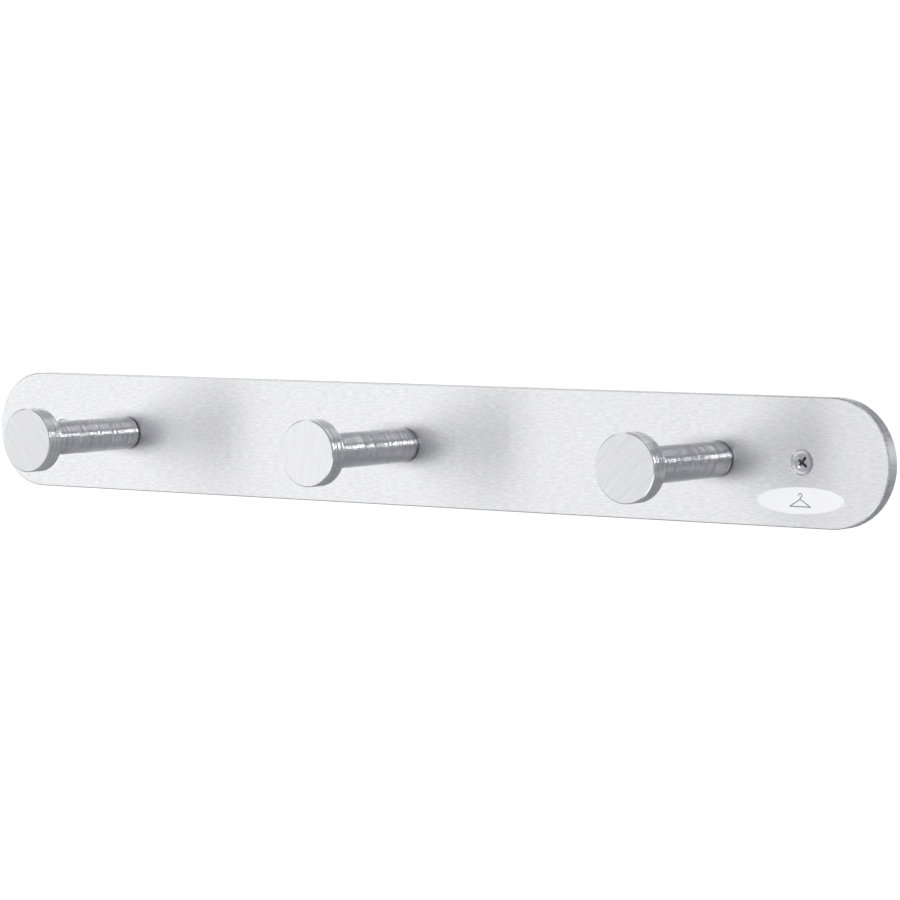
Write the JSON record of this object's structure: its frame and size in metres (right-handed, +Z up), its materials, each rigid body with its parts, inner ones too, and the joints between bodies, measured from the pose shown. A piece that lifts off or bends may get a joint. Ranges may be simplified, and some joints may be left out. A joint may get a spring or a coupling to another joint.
{
  "type": "wall hook rack",
  "caption": "Flat brushed metal bar with half-round ends and a row of round nail-head pegs for coats, held to a wall by a countersunk screw at each end.",
  "frame": {"origin": "centre of the back plate's rear face, where it lies against the wall", "axes": "+X along the plate, to the right as seen from the room; +Y into the wall; +Z up; the pegs stand out towards -Y"},
  "size_m": [0.4572, 0.1017, 0.05],
  "materials": {
    "brushed_plate": "brushed along its length, clear anodised",
    "turned_peg": "fine turned",
    "peg_head": "straight-grained face, turned rim",
    "zinc_screw": "zinc plated",
    "wall_screw": "bright zinc plated",
    "anchor_plastic": "moulded nylon",
    "label_vinyl": "satin white film"
  },
  "bodies": {
    "root": {"back_plate": "brushed_plate", "oval_label": "label_vinyl", "peg_shank_left": "turned_peg", "peg_shank_center": "turned_peg", "peg_shank_right": "turned_peg", "peg_head_left": "peg_head", "peg_head_center": "peg_head", "peg_head_right": "peg_head", "peg_screw_left": "zinc_screw", "peg_screw_center": "zinc_screw", "peg_screw_right": "zinc_screw", "wall_screw_left": "wall_screw", "wall_screw_right": "wall_screw", "wall_anchor_left": "anchor_plastic", "wall_anchor_right": "anchor_plastic"}
  },
  "joints": []
}
